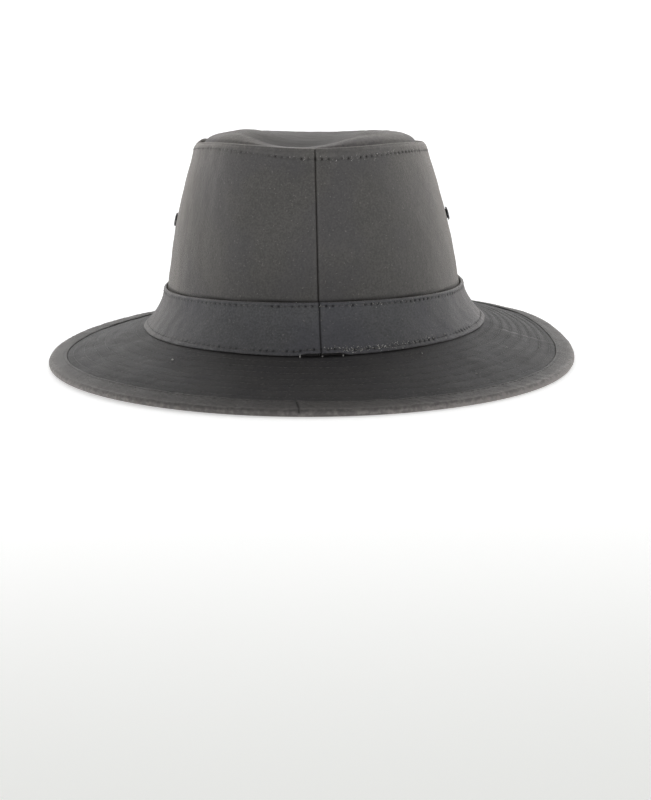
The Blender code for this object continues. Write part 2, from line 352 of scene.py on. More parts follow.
def panel_skin(share, turn, depth=0.0, lift=0.0):
    """Points on a side panel with its seams, its stitched rim and its soft unevenness. Depth runs
    from the outside face to the inside one, and lift rounds the rim."""
    share, turn, depth, lift = np.broadcast_arrays(share, turn, depth, lift)
    plain = crown(share, turn)
    outer = 1 - depth / CROWN_WALL
    level = half_sizes(share)[0]
    to_seam = level * np.abs(np.cos(turn) - SEAM_SHIFT / level)
    to_rim = (1 - share) * panel_height(turn)
    to_row = (share - rim_stitch_share(turn)) * panel_height(turn)
    puckers = np.exp(-to_seam / PUCKER_REACH) * np.sin(2 * pi * plain[..., 2] / PUCKER_LENGTH + 3 * turn)
    furrow = RIM_FURROW_DEPTH * round_hat("pull", turn)
    relief = PUCKER_HEIGHT * puckers
    relief += SEAM_WELT / (1 + np.exp((to_seam - SEAM_ALLOWANCE) / WELT_EDGE))
    relief += swells(plain, PANEL_SWELLS)
    relief += HEM_PUFF * puff(to_rim, RIM_STITCH_DROP) ** 2
    relief -= sewn(rim_row, from_seam(turn), to_row, STITCH_FURROW, furrow, RIM_HOLE_DEPTH)
    relief -= groove(to_row, HEM_HEIGHT) * swells(plain, HEM_PUCKERS)
    relief -= EDGE_LEAN * limited(1 - to_rim / EDGE_ROUNDING) ** 2
    sunk = rolled(to_seam, SEAM_ROLL, SEAM_DEPTH)
    point = crown(share, turn, outer * (relief - sunk) - depth - hem_lean(to_rim))
    point[..., 2] += lift * (1 - sunk / SEAM_DEPTH)
    point[..., 2] += rim_curl(turn) * limited(1 - (to_rim - RIM_RADIUS) / HEM_HEIGHT) ** 2
    return point


# Rows round a panel's section: up its outside face, over the rim and down its inside face.
rim_start = 1 - RIM_RADIUS / (RIM_HEIGHT - BASE_HEIGHT)
over = np.linspace(0, pi, 9)[1:-1]
panel_rows = around(
    (spaced((0, 0.18, 6), (0.18, 0.90, 52), (0.90, rim_start, 26)), 0, 0),
    (rim_start, RIM_RADIUS * (1 - np.cos(over)), RIM_RADIUS * np.sin(over)),
    (spaced((rim_start, 0.9, 8), (0.9, 0, 24)), CROWN_WALL, 0),
    (0, 0, 0),
)
PANEL_COLUMNS = spaced((0, 0.02, 16), (0.02, 0.98, 400), (0.98, 1, 16))
BAND_HEIGHT = 0.0240


def band_height(turn):
    return BAND_HEIGHT * round_hat("band", turn)


def panel(name, front_first):
    """One side panel, from the seam at the back to the one at the front, or back again."""

    def place(across, rows):
        share, depth, lift = rows.T
        start = seam_turn(share, SEAM_SHIFT, front=front_first)
        end = seam_turn(share, SEAM_SHIFT, front=not front_first) + 2 * pi * front_first
        turn = start + across * (end - start)
        level = sum(half_sizes(share)) / 2
        up = share * panel_height(turn)
        to_seam = np.minimum(across, 1 - across) * (end - start) * level
        to_row = (share - rim_stitch_share(turn)) * panel_height(turn)
        to_rim = (1 - share) * panel_height(turn)
        above_band = up - band_height(turn)
        at_back = limited(-np.sin(turn)) ** 8
        # It is worn pale on the rim and the seam's edges, and painted paler along the hem above the
        # stitches as painted light. Painted shade lies in the seam and the needle holes, as a painted
        # shadow along the band's top edge, up from the band at the back, and at the foot, where it shows
        # in the gap under the band.
        wear_and_light = 0.35 * limited(1 - (to_rim - RIM_RADIUS) / 0.0010)
        wear_and_light += 0.42 / (1 + np.exp(-to_row / 0.0003)) + 0.16 * groove(to_seam - 0.0014, 0.0020)
        shaded = 0.85 * groove(to_seam, 0.0010) + 0.9 * groove(above_band, 0.0018)
        shaded += sewn(rim_row, from_seam(turn), to_row, 0.0014, 0.02, 1.2)
        shaded += 0.20 * limited(1 - above_band / 0.030) * at_back + 0.7 * groove(up, 0.0060)
        flat = np.stack([level * (across - 0.5) * pi, up], -1)
        return panel_skin(share, turn, depth, lift), flat, wear_and_light, shaded

    return cloth(name, PANEL_COLUMNS, panel_rows, place)


def feed(node, values):
    """Links values to a node's sockets, or sets them there."""
    for name, value in dict(values).items():
        if isinstance(value, Wire):
            node.id_data.links.new(value.socket, node.inputs[name])
        else:
            node.inputs[name].default_value = value


class Wire:
    """A socket's output in a material. Arithmetic on it adds Math nodes, and node() any other."""

    def __init__(self, socket):
        self.socket = socket

    def node(self, kind, settings=(), inputs=(), output=0):
        made = self.socket.id_data.nodes.new("ShaderNode" + kind)
        for name, value in dict(settings).items():
            setattr(made, name, value)
        feed(made, inputs)
        return Wire(made.outputs[output])

    def math(self, operation, first, second=0.0):
        return self.node("Math", {"operation": operation}, {0: first, 1: second})

    def __add__(self, other):
        return self.math("ADD", self, other)

    def __sub__(self, other):
        return self.math("SUBTRACT", self, other)

    def __rsub__(self, other):
        return self.math("SUBTRACT", other, self)

    def __mul__(self, other):
        return self.math("MULTIPLY", self, other)

    __radd__ = __add__
    __rmul__ = __mul__

    def sine(self):
        return self.math("SINE", self)

    def part(self, axis):
        """One of this vector's three parts."""
        return self.node("SeparateXYZ", (), {0: self}, output=axis)

    def between(self, low, high):
        """0 below low, 1 above high and smooth between."""
        return self.node("MapRange", {"interpolation_type": "SMOOTHSTEP"},
                         {"Value": self, "From Min": low, "From Max": high})

    def noise(self, size, detail=2.0, stretch=(1, 1, 1)):
        """Noise whose swells are this many metres across, read where this vector points."""
        turned = self.node("Mapping", (), {"Vector": self, "Scale": stretch})
        return turned.node("TexNoise", (), {"Vector": turned, "Scale": 1 / size, "Detail": detail})

    def blend(self, first, second):
        """The first colour where this is 0 and the second where it is 1."""
        return self.node("Mix", {"data_type": "RGBA"}, {0: self, 6: first, 7: second}, output=2)

    def bump(self, strength, distance, **more):
        """A normal that leans as a surface with this height would."""
        inputs = {"Strength": strength, "Distance": distance, "Height": self, **more}
        return self.node("Bump", (), inputs)


def new_finish(name):
    """A material, its main shader and the piece's own coordinates."""
    material = bpy.data.materials.new(name)
    material.use_nodes = True
    shader = material.node_tree.nodes["Principled BSDF"]
    place = material.node_tree.nodes.new("ShaderNodeTexCoord").outputs["Object"]
    return material, shader, Wire(place)


def tinted(colour, tint):
    """A colour made lighter, darker or cooler, with its alpha."""
    return (*np.minimum(np.multiply(colour, tint), 1).tolist(), 1)


YARN = 0.00052
COOL_TINT = (1.1, 1.1, 1.375)
LINT_COLOUR = (0.22, 0.21, 0.19, 1)
WAX_BLOOM = (1.0, 0.92, 0.84, 1)
PATCH_SIZE = 0.009
FLECK_SIZE = 0.0010

# How far scuffs and drag marks are drawn out along the cloth.
DRAWN_OUT = (0.14, 1, 1)


def waxed_cotton(name, dark, light, sheen=0.30, gloss=0.5, bias=0.0, streaks=0.0, frays=0.0,
                 wear_and_light_paleness=2.1, crinkle=1.0, along=(1, 1, 1)):
    """Dark cotton woven plainly and soaked in wax: mottled where the wax lies thick or thin, paler where
    the attribute for wear and painted light says, which is partly worn edges and partly painted light and
    painted highlights, and turned to a dull dark finish as painted shade where its shaded attribute says,
    in seams, needle holes, furrows and gaps. bias turns the weave and along stretches its thick yarns.
    streaks is how much hands have scuffed it from the sides forwards, frays how fuzzy its yarns are, the
    paleness argument how pale its worn and painted-light places turn, and crinkle how much it is creased."""
    material, shader, place = new_finish(name)
    flat = place.node("UVMap", {"uv_map": "cloth"})
    turned = flat.node("Mapping", (), {"Vector": flat, "Rotation": (0, 0, bias)})
    wear_and_light = place.node("Attribute", {"attribute_name": "wear_and_light"}, output=2)
    # Painted shade: where the shaded attribute says, the cloth turns to a dull dark finish, as scuffed
    # places do below.
    shade_and_scuffs = 0.85 * place.node("Attribute", {"attribute_name": "shaded"}, output=2)
    wax = place.noise(0.045, 3.0)
    patches = place.noise(PATCH_SIZE, 4.0)
    flecks = place.noise(FLECK_SIZE, 3.0)
    slubs = turned.noise(0.0014, 2.0, along)
    tone = 0.5 + 0.6 * (wax - 0.5) + 0.6 * (patches - 0.5) + 2.2 * (flecks - 0.5) + 0.4 * (slubs - 0.5)
    if streaks:
        side_weight = streaks * place.part(1).between(-0.09, -0.02)
        scuffs = flat.noise(0.0024, 3.0, DRAWN_OUT).between(0.50, 0.72) * wax.between(0.44, 0.60)
        tone = tone + side_weight * scuffs
        marks = 0.09 * flat.noise(0.0040, 3.0, DRAWN_OUT).between(0.48, 0.74)
        marks = marks + 0.10 * flat.noise(0.0120, 3.0, (0.50, 1, 1)).between(0.46, 0.68)
        shade_and_scuffs = shade_and_scuffs + side_weight * marks + 0.12 * streaks * flecks.between(0.42, 0.62)
    if frays:
        tone = tone + frays * flat.noise(0.0011, 2.0, (1, 0.22, 1)).between(0.48, 0.72)
    colour = tone.between(0.0, 1.0).blend((*dark, 1), (*light, 1))
    cool = 0.35 * place.noise(0.030, 2.0).between(0.42, 0.66)
    colour = cool.blend(colour, tinted(dark, COOL_TINT))
    # Paler by wear and by painted light: the worn edges, and the painted highlights and lit places that
    # the pieces mark.
    paling = wear_and_light * (0.3 + 0.3 * place.noise(0.0022, 3.0).between(0.40, 0.68))
    colour = paling.blend(colour, tinted(light, wear_and_light_paleness))
    lint = 0.4 * place.noise(0.0009, 0.0).between(0.77, 0.80)
    weave = (turned.part(0) * (2 * pi / YARN)).sine() * (turned.part(1) * (2 * pi / YARN)).sine()
    fine = (0.35 * weave + 1.3 * flecks + 1.0 * slubs).bump(0.55, 0.00016)
    creases = place.noise(0.006, 3.0) + 0.6 * place.noise(0.0025, 2.0)
    normal = creases.bump(0.5, 0.00045 * crinkle, Normal=fine)
    feed(shader, {
        "Base Color": lint.blend(colour, LINT_COLOUR),
        "Roughness": 0.58 + 0.22 * (patches - 0.5) + 0.12 * (flecks - 0.5),
        "Specular IOR Level": gloss,
        "Sheen Weight": sheen,
        "Sheen Roughness": 0.42,
        "Sheen Tint": WAX_BLOOM,
        "Normal": normal,
    })
    # The dull dark finish used for painted shade and for scuffs.
    shade_and_scuff_dark = place.node("BsdfPrincipled", (), {
        "Base Color": tinted(dark, 0.3),
        "Roughness": 0.9,
        "Specular IOR Level": 0.1,
        "Normal": normal,
    })
    mixed = place.node("MixShader", (), {0: shade_and_scuffs, 1: Wire(shader.outputs["BSDF"]), 2: shade_and_scuff_dark})
    feed(material.node_tree.nodes["Material Output"], {"Surface": mixed})
    return material


crown_cotton = waxed_cotton("waxed cotton, crown", dark=(0.0435, 0.0416, 0.0394),
                            light=(0.0780, 0.0744, 0.0696), sheen=0.44, along=(1.4, 0.12, 1))
side_panels = (panel("crown_panel_right", False), panel("crown_panel_left", True))
for piece, node in zip(side_panels, ("crown_side_right", "crown_side_left")):
    piece.data.materials.append(crown_cotton)
    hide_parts(node)


# The tip, an oval of the same cloth sewn inside the panels' rim. It stands a little above the rim
# and is pinched in along its middle, deepest at the back, and its edge is turned down inside.

TIP_RISE = 0.0076
TIP_FLANGE = 0.0070
TIP_ROLL = 0.0030
TIP_EDGE_DEPTH = 0.0009
TIP_SWELLS = (Swell(0.00030, 0.030, 11), Swell(0.00008, 0.009, 12))

# The flat margin along the seam starts at this share of the way out, and inside it the tip folds
# down this much more sharply at the back than at the sides.
TIP_SHELF = 0.95
TIP_FOLD = 11

# Where a painted highlight runs along the fold of the tip's back, as a share of the way out, and how wide
# that is.
TIP_HIGHLIGHT_LINE = 0.862
TIP_HIGHLIGHT_WIDTH = 0.042

# The dent along the tip, from the back to the front, as shares of the rim's oval and of the rise.
Dent = namedtuple("Dent", "place shift left right depth")
DENTS = (
    Dent(-1.00, -0.19, 0.44, 0.52, 0.98),
    Dent(-0.75, -0.15, 0.42, 0.50, 0.95),
    Dent(-0.45, -0.02, 0.36, 0.38, 0.75),
    Dent(0.00, 0.07, 0.48, 0.48, 0.50),
    Dent(0.50, 0.08, 0.48, 0.48, 0.36),
    Dent(1.00, 0.06, 0.45, 0.45, 0.30),
)


def dent(reach, turn):
    """How far the dent takes the tip down, as a share of its rise."""
    across, ahead = reach * np.cos(turn), reach * np.sin(turn)
    away = across - smooth(DENTS, ahead, "shift")
    width = np.where(away < 0, smooth(DENTS, ahead, "left"), smooth(DENTS, ahead, "right"))
    return smooth(DENTS, ahead, "depth") * np.exp(-np.abs(away / width) ** 3)


def tip_skin(reach, turn, below):
    """Points on the tip between its middle and its edge. A flat margin runs along the seam."""
    edge = crown(np.ones_like(turn), turn, -CROWN_WALL - GAP - HEM_LEAN)
    middle = np.array([CROWN_SHIFT, 0, 0])
    point = middle + (edge - middle) * reach[..., None]
    centre = RIM_HEIGHT * np.mean([side.rim for side in SIDES])
    level = centre + reach * (RIM_HEIGHT * round_hat("rim", turn) - centre)
    fold = 5 + TIP_FOLD * limited(-np.sin(turn)) ** 8
    rise = TIP_RISE * np.sqrt(1 - np.minimum(reach / TIP_SHELF, 1) ** fold) * (1 - dent(reach, turn))
    inset = (1 - reach) * np.linalg.norm(edge[..., :2], axis=-1)
    soft = swells(point, TIP_SWELLS) * limited(inset / 0.01)
    point[..., 2] = level + rise + soft - GAP - below - rolled(inset, TIP_ROLL, TIP_EDGE_DEPTH)
    return point


def tip_place(turn, rows):
    reach, drop, depth = rows.T
    top = tip_skin(reach, turn, depth)
    flange = crown(1 - drop / panel_height(turn), turn, -CROWN_WALL - GAP - depth - hem_lean(drop))
    points = np.where((drop > 0)[..., None], flange, top)
    inset = (1 - reach) * RIM_HALF_WIDTH
    # Painted shade: a dark line round the tip's edge and a darker floor in the dent. Painted light, on
    # the back half only: paler near flanks and a painted highlight along the fold.
    shaded = 0.2 * groove(inset, 0.0006) + 0.80 * dent(reach, turn) * limited((0.93 - reach) / 0.10)
    wear_and_light = 0.50 * limited((reach - 0.82) / 0.08)
    wear_and_light += 0.75 * groove(reach - TIP_HIGHLIGHT_LINE, TIP_HIGHLIGHT_WIDTH)
    return points, points[..., :2], wear_and_light * limited(-1.3 * np.sin(turn)), shaded


# Rows from the tip's middle out to its edge and down it, and back on its inside.
reaches = spaced((0, 0.80, 44), (0.80, TIP_SHELF, 28), (TIP_SHELF, 1, 12))
drops = np.linspace(0.0016, TIP_FLANGE, 6)
tip_rows = around(
    (reaches, 0, 0),
    (1, drops, 0),
    (1, drops[::-1], CROWN_WALL),
    (reaches[::-4], 0, CROWN_WALL),
    (0, 0, CROWN_WALL),
)
tip = cloth("crown_tip_cloth", np.linspace(-pi, pi, 361), tip_rows, tip_place)
tip.data.materials.append(waxed_cotton("waxed cotton, tip", dark=(0.072, 0.068, 0.065),
                                       light=(0.131, 0.1235, 0.116), sheen=0.14, gloss=0.22))
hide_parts("crown_tip")


# The vent eyelets, one in each side of the crown. Each is a ring of dark plated brass whose rolled
# flange lies on the outside of the cloth and whose barrel is spread over the cloth inside.

EYELET_HEIGHT = 0.0762
EYELET_FLANGE_RADIUS = 0.0039
EYELET_BARREL_RADIUS = 0.0027
EYELET_BORE_RADIUS = 0.0019
EYELET_WALL = 0.0009


def eyelet_frame(turn):
    """The eyelet's place on the crown, with its axis square to the cloth."""
    share = (EYELET_HEIGHT - foot_height(turn)) / panel_height(turn)
    rise = crown(share + 0.05, turn)[()] - crown(share - 0.05, turn)[()]
    run = crown(share, turn + 0.02)[()] - crown(share, turn - 0.02)[()]
    axis = Vector(unit(np.cross(run, rise)))
    turned = axis.to_track_quat("Z", "Y").to_matrix().to_4x4()
    return Matrix.Translation(crown(share, turn, -CROWN_WALL / 2)) @ turned


def eyelet_ring():
    """An eyelet about the Z axis, spun from its section: the flange's roll, and then the barrel's
    spread edge as radii and as shares of the metal's thickness."""
    half = CROWN_WALL / 2 + GAP
    middle = (EYELET_FLANGE_RADIUS + EYELET_BORE_RADIUS) / 2
    reach = (EYELET_FLANGE_RADIUS - EYELET_BORE_RADIUS) / 2
    outline = [(middle + reach * cos(angle), half + EYELET_WALL * sin(angle))
               for angle in np.linspace(0, pi, 13)]
    outline += [(radius, -half - EYELET_WALL * share) for radius, share in (
        (EYELET_BORE_RADIUS, 0),
        (EYELET_BORE_RADIUS * 1.08, 0.6),
        (EYELET_BORE_RADIUS * 1.3, 0.8),
        (EYELET_FLANGE_RADIUS * 0.85, 0.7),
        (EYELET_FLANGE_RADIUS * 0.95, 0.3),
        (EYELET_FLANGE_RADIUS * 0.93, 0),
        (EYELET_BARREL_RADIUS, 0),
    )]
    outline += [(EYELET_BARREL_RADIUS, half)]
    bm = bmesh.new()
    section = [bm.verts.new((radius, 0, height)) for radius, height in outline]
    edges = [bm.edges.new(pair) for pair in zip(section, section[1:] + section[:1])]
    bmesh.ops.spin(bm, geom=section + edges, cent=(0, 0, 0), axis=(0, 0, 1), angle=2 * pi,
                   steps=48, use_merge=True)
    bmesh.ops.remove_doubles(bm, verts=bm.verts, dist=WELD)
    return bm


def pierce(piece, turn):
    """Cuts an eyelet's hole through a piece of cloth."""
    bm = bmesh.new()
    radius = EYELET_BARREL_RADIUS + GAP
    bmesh.ops.create_cone(bm, cap_ends=True, segments=24, radius1=radius, radius2=radius,
                          depth=10 * CROWN_WALL, matrix=eyelet_frame(turn))
    punch = dressed("punch", bm)
    cut = piece.modifiers.new("hole", "BOOLEAN")
    cut.object = punch
    graph = bpy.context.evaluated_depsgraph_get()
    holed = bpy.data.meshes.new_from_object(piece.evaluated_get(graph))
    piece.modifiers.clear()
    piece.data = holed
    bpy.data.objects.remove(punch)


def gunmetal():
    material, shader, place = new_finish("dark plated brass")
    paling = place.noise(0.0007, 3.0).between(0.50, 0.70)
    feed(shader, {
        "Base Color": paling.blend((0.055, 0.055, 0.060, 1), (0.34, 0.33, 0.32, 1)),
        "Metallic": 1.0,
        "Roughness": 0.24 + 0.25 * place.noise(0.0016, 2.0),
        "Normal": place.noise(0.0004, 2.0, (1, 1, 0.3)).bump(0.25, 0.0001),
    })
    return material


eyelet_metal = gunmetal()
for piece, side, turn in zip(side_panels, ("right", "left"), (0.0, pi)):
    pierce(piece, turn)
    ring = eyelet_ring()
    bmesh.ops.transform(ring, matrix=eyelet_frame(turn), verts=ring.verts)
    ring = dressed("eyelet_ring_" + side, ring)
    ring.data.materials.append(eyelet_metal)
    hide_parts("eyelet_" + side)


# The brim: two layers of waxed cotton with a soft interlining, sewn through in seven rings of
# stitches that leave shallow furrows. It slopes down from the crown and is sewn under the band.

BAND_WALL = 0.0016
BRIM_WALL = 0.0022
BOUND_WALL = 0.0012
BINDING_WALL = 0.0010
BRIM_WIDTH = 0.0560
BINDING_WIDTH = 0.0102
EDGE_HEIGHT = 0.0020
TAPE = BOUND_WALL / 2 + GAP + BINDING_WALL
BRIM_RINGS = 7
FIRST_RING = 0.115
RING_PITCH = 0.138
FURROW_DEPTH = 0.00008
FURROW_WIDTH = 0.0030
RING_SWELL = 0.00006
DEEP_FURROWS_TURN = radians(22)
BRIM_SWELLS = (Swell(0.00004, 0.0085, 21), Swell(0.00030, 0.040, 22))

# The mesh's columns start and end at this turn, beside the join of the binding's ends, and this many
# of them keep the piece under 200,000 triangles.
BRIM_START = radians(-94)
BRIM_COLUMNS = 760
BRIM_MIDDLE_RADIUS = 0.13

# Where the band's foot stands off the brim at the back and leaves a dark gap.
BAND_GAP_TURN = radians(-87.5)
BAND_GAP_HALF_ANGLE = radians(6.9)
BAND_GAP_RISE = 0.0012

# The soft crease that runs out across the brim on the right, as turns and runs from the band.
CREASE_TURNS = (radians(-15.2), radians(-10.4))
CREASE_RUNS = (0.006, 0.038)
CREASE_HEIGHT = 0.0003
CREASE_WIDTH = 0.0034

# Where the brim's edge stands a little off the floor, towards the front right.
LIFT_TURN = radians(25)
LIFT_HALF_ANGLE = radians(15)
LIFT_HEIGHT = 0.0011


def deep_furrows(turn):
    """1 where the brim's furrows are deepest, and less away from there."""
    return limited(np.cos(turn - DEEP_FURROWS_TURN)) ** 4


# This weights the painted shadow along the binding's inner edge, and what is left of it weights the
# painted highlight there.
def far_side(turn):
    """1 where the binding's inner edge turns its side to the back of the hat, and 0 at the back."""
    return limited(0.42 + 0.14 * np.cos(turn) + np.sin(turn))


def loose_foot(turn):
    """1 where the band's foot stands off the brim, and 0 elsewhere."""
    return np.exp(-(half_round(turn - BAND_GAP_TURN) / BAND_GAP_HALF_ANGLE) ** 8)


def pressed_foot(turn):
    """1 where the band's foot spreads on the brim, and 0 along the back."""
    return limited((0.90 + np.sin(turn)) / 0.25)


def brim_width(turn):
    return BRIM_WIDTH * round_hat("brim", turn)


def free_width(turn):
    """The width of brim that shows between the band and the binding."""
    return brim_width(turn) - BINDING_WIDTH - 4 * GAP


def off_ring(turn, run):
    """How far points are from the nearest ring of stitches, as a share of the rings' pitch."""
    ring = (run / free_width(turn) - FIRST_RING) / RING_PITCH
    return ring - np.clip(np.rint(ring), 0, BRIM_RINGS - 1)


def brim_line(turn, run):
    """Points halfway through the brim, this far out from the band. It lies flat on the floor."""
    start = crown(0 * turn, turn, GAP + BAND_WALL)
    top = start[..., 2] - GAP - BRIM_WALL / 2
    edge = EDGE_HEIGHT * round_hat("edge", turn)
    late = round_hat("droop", turn)
    share = np.maximum(0, run) / brim_width(turn)
    point = start + outwards(0 * turn, turn) * run[..., None]
    fall = top + (edge - top) * ((1 - late) * share + late * share ** 6)
    point[..., 2] = (fall + TAPE + np.hypot(fall - TAPE, 0.0003)) / 2
    point[..., 2] += LIFT_HEIGHT * groove(half_round(turn - LIFT_TURN), 2 * LIFT_HALF_ANGLE) * share ** 2
    return point


def crease(points, turn, run):
    """How near points are to the crease's line, 1 on it."""
    share = (run - CREASE_RUNS[0]) / (CREASE_RUNS[1] - CREASE_RUNS[0])
    line = CREASE_TURNS[0] + share * (CREASE_TURNS[1] - CREASE_TURNS[0])
    away = (turn - line) * np.linalg.norm(points[..., :2], axis=-1)
    ends = limited(np.minimum(share + 0.15, 1.15 - share) / 0.4)
    return groove(away, CREASE_WIDTH) * ends ** 2


def brim_skin(turn, run, side=1):
    """Points on the brim's upper face, or on its lower one where side is -1."""
    middle = brim_line(turn, run)
    step = limited((run - free_width(turn) - 3 * GAP) / (1.3 * GAP))
    half = BRIM_WALL / 2 + (BOUND_WALL - BRIM_WALL) / 2 * step * step * (3 - 2 * step)
    share = run / free_width(turn)
    off = off_ring(turn, run)
    depth = FURROW_DEPTH * (1 + 4.5 * deep_furrows(turn))
    relief = RING_SWELL * np.sin(pi * np.clip(np.abs(off), 0, 0.5))
    relief -= depth * groove(off * RING_PITCH * free_width(turn), FURROW_WIDTH)
    relief *= limited(np.minimum(share, 1 - share) / 0.05)
    relief += swells(middle, BRIM_SWELLS) * limited(run / 0.004)
    relief += CREASE_HEIGHT * crease(middle, turn, run) * side
    middle[..., 2] += side * (half + relief * (1 - step))
    return middle


def brim_place(turn, rows):
    share, extra, nose, side = rows.T
    run = share * free_width(turn) + extra
    run = np.where(np.abs(nose) > 0, brim_width(turn) - TAPE, run)
    face = brim_skin(turn, run, np.sign(side))
    edge = brim_line(turn, brim_width(turn) - TAPE)
    edge += outwards(0 * turn, turn) * (BOUND_WALL / 2 * np.sin(nose))[..., None]
    edge[..., 2] += BOUND_WALL / 2 * np.cos(nose)
    points = np.where((np.abs(nose) > 0)[..., None], edge, face)
    away = off_ring(turn, run) * RING_PITCH * free_width(turn)
    deep = deep_furrows(turn)
    # Painted shade lies in the furrows, as a painted shadow along the binding on the far side, under the
    # band and in the gap under its foot at the back. The crease is painted pale, a painted highlight on
    # rubbed wax, and the cloth between the deepest furrows has a painted highlight.
    shaded = (0.04 + 0.50 * deep) * groove(away, 0.0019)
    shaded += 0.2 * far_side(turn) * groove(run - free_width(turn) - 0.0011, 0.0013)
    shaded += 0.7 * (1 - 0.9 * pressed_foot(turn)) * groove(np.minimum(run, 0.003), 0.003)
    shaded += 0.9 * loose_foot(turn) * groove(run, 0.0022)
    wear_and_light = 2.0 * crease(points, turn, run) + 0.60 * deep * groove(np.abs(away) - 0.0034, 0.0056)
    return points, np.stack([turn * BRIM_MIDDLE_RADIUS, run], -1), wear_and_light, shaded


def ring_shares(steps):
    """Shares of the brim's free width, closest together along the rings of stitches."""
    rings = np.arange(0, BRIM_RINGS - 1, 1 / steps)
    rings -= 0.09 * np.sin(2 * pi * rings)
    before = np.linspace(0, FIRST_RING, steps // 2, endpoint=False)
    last = FIRST_RING + RING_PITCH * (BRIM_RINGS - 1)
    return np.concatenate([before, FIRST_RING + RING_PITCH * rings, np.linspace(last, 1, steps // 2)])


# Rows once round the brim's section, above and then below, as share, extra, nose and side.
MARGIN = (CROWN_WALL + GAP + BAND_WALL) * 1.2
upper, lower = ring_shares(11), ring_shares(4)[::-1]
thinning = np.array([1.5, 3.0, 3.3, 3.65, 4.0, 4.3]) * GAP
bound = np.concatenate([thinning, 4 * GAP + np.array([0.0045, 0.0075])])
brim_rows = around(
    (0, -MARGIN, 0, 1),
    (upper, 0, 0, 1),
    (1, bound, 0, 1),
    (1, 0, np.linspace(radians(15), radians(165), 7), 1),
    (1, bound[::-1], 0, -1),
    (lower, 0, 0, -1),
    (0, -MARGIN, 0, -1),
    (0, -MARGIN, 0, 1),
)
brim = cloth("brim_cloth", BRIM_START + np.linspace(0, 2 * pi, BRIM_COLUMNS + 1), brim_rows, brim_place)
brim.data.materials.append(waxed_cotton("waxed cotton, brim", dark=(0.0208, 0.0201, 0.0206),
                                        light=(0.0462, 0.0446, 0.0452), sheen=0.048, gloss=0.2,
                                        streaks=1.3, wear_and_light_paleness=3.2, crinkle=0.5))
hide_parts("brim")


# The binding: a strip of the same cloth cut on the bias and folded over the brim's raw edge. It is
# sewn down near its inner edge, its two ends lap at the back, and it is a little padded by its folds.

TAPE_RUN = BINDING_WIDTH - TAPE
BINDING_ROW = 0.0017
BINDING_PUFF = 0.00014
HEM_FOLD_PUFF = 0.00006
BINDING_FURROW_DEPTH = 0.00007
INNER_ROLL = 0.0016
INNER_DEPTH = 0.0007
BINDING_LOOP = 0.160
JOIN_INNER = radians(-93.8)
JOIN_OUTER = radians(-93.0)
JOIN_STEP = 0.00045
JOIN_LAP = 0.0085
TAPE_SWELLS = (Swell(0.00012, 0.011, 32),)

# Slanting drag marks, as a tape cut on the bias gets where it is pulled round the edge.
DRAG_MARKS = (Swell(0.00010, 0.03, 31),)
DRAG_PITCH = 0.0067


def past_join(turn, inward, points):
    """How far round the edge points are past the slanting join of the binding's ends."""
    join = JOIN_OUTER + (JOIN_INNER - JOIN_OUTER) * limited(inward / TAPE_RUN)
    return half_round(turn - join) * np.linalg.norm(points[..., :2], axis=-1)


def binding_skin(turn, inward, angle, radius=TAPE):
    """Points on the tape, this far in from where it turns over the edge. The angle runs from a
    quarter turn above the brim to a quarter turn below it."""
    turn, inward, angle, radius = np.broadcast_arrays(turn, inward, angle, radius)
    line = brim_line(turn, brim_width(turn) - TAPE - inward)
    outer = (radius - TAPE + BINDING_WALL) / BINDING_WALL
    above = limited(np.sin(angle))
    to_inner = TAPE_RUN - inward
    to_row = to_inner - BINDING_ROW
    past = past_join(turn, inward, line)
    relief = BINDING_PUFF * puff(to_row, BINDING_WIDTH - BINDING_ROW)
    relief += HEM_FOLD_PUFF * puff(to_inner, BINDING_ROW)
    relief -= BINDING_FURROW_DEPTH * groove(to_row, STITCH_FURROW)
    relief += np.sin(2 * pi * (past + 1.4 * inward) / DRAG_PITCH) * swells(line, DRAG_MARKS)
    relief += swells(line, TAPE_SWELLS)
    relief += JOIN_STEP * limited(1 - past / JOIN_LAP) * limited(past / 0.0004)
    relief -= rolled(to_inner, INNER_ROLL, INNER_DEPTH)
    size = radius + above * outer * relief
    point = line + outwards(0 * turn, turn) * (size * np.cos(angle))[..., None]
    point[..., 2] += size * np.sin(angle)
    return point


def binding_place(turn, rows):
    inward, angle, radius = rows.T
    points = binding_skin(turn, inward, angle, radius)
    to_inner = TAPE_RUN - inward
    # It is painted paler over the edge and at the sides, most at the back right: partly wear and partly
    # painted light. A painted highlight runs along its inner edge on the near side, and painted shade
    # along its stitch row and, as a painted shadow, along its inner edge on the far side. The join is
    # dark.
    side_weight = 0.26 + 0.52 * np.cos(turn) ** 2 + 0.45 * limited(np.cos(turn + radians(40))) ** 4
    near = limited(to_inner / TAPE_RUN)
    wear_and_light = side_weight * (0.12 * near + 1.3 * near ** 4 + 2.2 * np.minimum(1 - np.sin(angle), 1))
    wear_and_light += 0.25 * groove(to_inner, 0.0012) * (1 - far_side(turn))
    shaded = 0.06 * groove(to_inner - BINDING_ROW, 0.0012)
    shaded += 0.12 * far_side(turn) * groove(to_inner, 0.0008)
    shaded += 0.8 * groove(past_join(turn, inward, points), 0.0010) * (angle > 0)
    return points, np.stack([turn * BINDING_LOOP, inward + TAPE * angle], -1), wear_and_light, shaded


